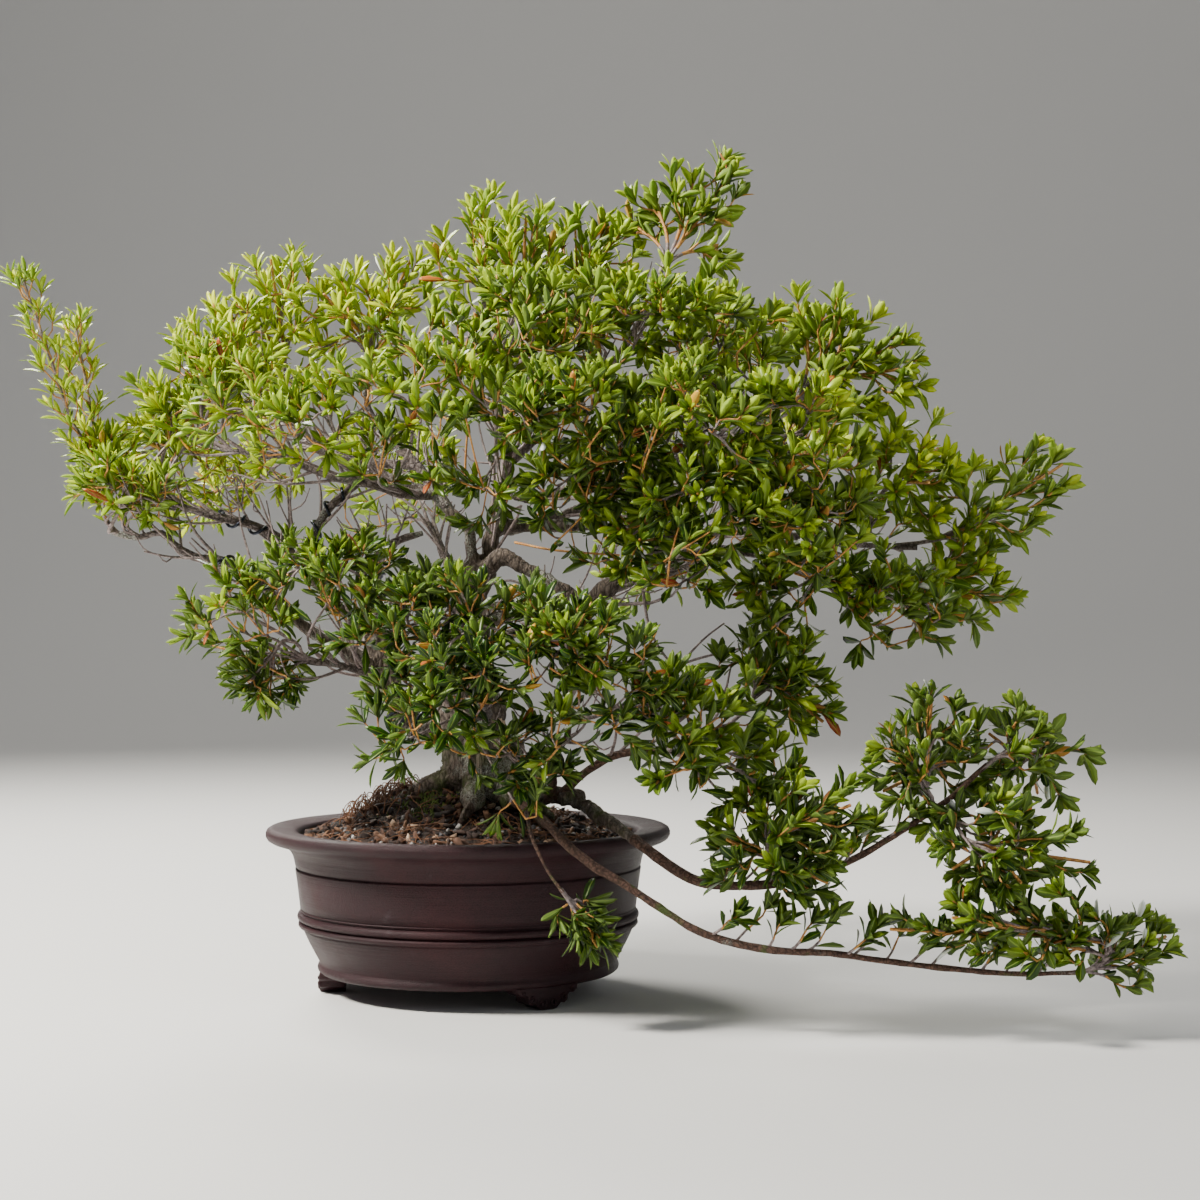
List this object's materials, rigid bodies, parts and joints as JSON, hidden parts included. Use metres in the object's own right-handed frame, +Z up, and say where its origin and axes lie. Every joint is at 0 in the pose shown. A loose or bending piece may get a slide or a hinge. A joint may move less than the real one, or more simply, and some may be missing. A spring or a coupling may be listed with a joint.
{
  "type": "azalea bonsai",
  "caption": "Azalea bonsai with a leaning, wired crown and long low branches trailing to one side, growing in a round unglazed clay pot on cloud feet.",
  "frame": {"origin": "middle of the underside of the whole, at the height of the feet", "axes": "+Z up, +X towards the long trailing branches, the front towards -Y"},
  "size_m": [1.004, 0.5344, 0.7508],
  "materials": {
    "clay": "unglazed, satin",
    "soil": "rough",
    "bark": "rough",
    "leaf": "waxy, satin",
    "wire": "anodised",
    "drain_mesh": "matt"
  },
  "bodies": {
    "root": {"pot": "clay", "drain_mesh": "drain_mesh", "wood": "bark", "soil": "soil", "wire_low_left": "wire", "wire_low_left_top": "wire", "wire_left_rising": "wire", "wire_left_lowest": "wire", "wire_left_crossing": "wire", "spray_left_whip": "leaf", "spray_left_whip_low": "leaf", "spray_left_tip": "leaf", "spray_left_upper": "leaf", "spray_left_crown_low": "leaf", "spray_left_crown_high": "leaf", "spray_left_crown_plume": "leaf", "spray_left_front_low": "leaf", "spray_left_front_high": "leaf", "spray_crown_top_left": "leaf", "spray_crown_plume": "leaf", "spray_crown_front_plume": "leaf", "spray_crown_top_right": "leaf", "spray_right_top_whip": "leaf", "spray_crown_front_left": "leaf", "spray_crown_front_mid": "leaf", "spray_crown_front_right": "leaf", "spray_front_left": "leaf", "spray_front_mid": "leaf", "spray_front_right": "leaf", "spray_right_crown_mid": "leaf", "spray_right_crown_plume": "leaf", "spray_right_crown_back": "leaf", "spray_right_front_high": "leaf", "spray_right_front_side": "leaf", "spray_right_side_high": "leaf", "spray_right_tip": "leaf", "spray_right_low": "leaf", "spray_right_low_front": "leaf", "spray_right_front_low": "leaf", "spray_right_front_mid": "leaf", "spray_left_pad_top": "leaf", "spray_left_pad_side": "leaf", "spray_front_pad_left": "leaf", "spray_front_pad_mid": "leaf", "spray_front_low": "leaf", "spray_tall_pad": "leaf", "spray_mid_right_low": "leaf", "spray_mid_right": "leaf", "spray_mid_right_tall": "leaf", "spray_low_right_near": "leaf", "spray_low_right_plume": "leaf", "spray_low_right_top": "leaf", "spray_low_right_side": "leaf", "spray_lowest_tip": "leaf", "spray_hanging": "leaf", "spray_back_left": "leaf", "spray_back_mid": "leaf", "spray_back_high": "leaf", "spray_back_right": "leaf", "spray_back_low": "leaf"}
  },
  "joints": []
}
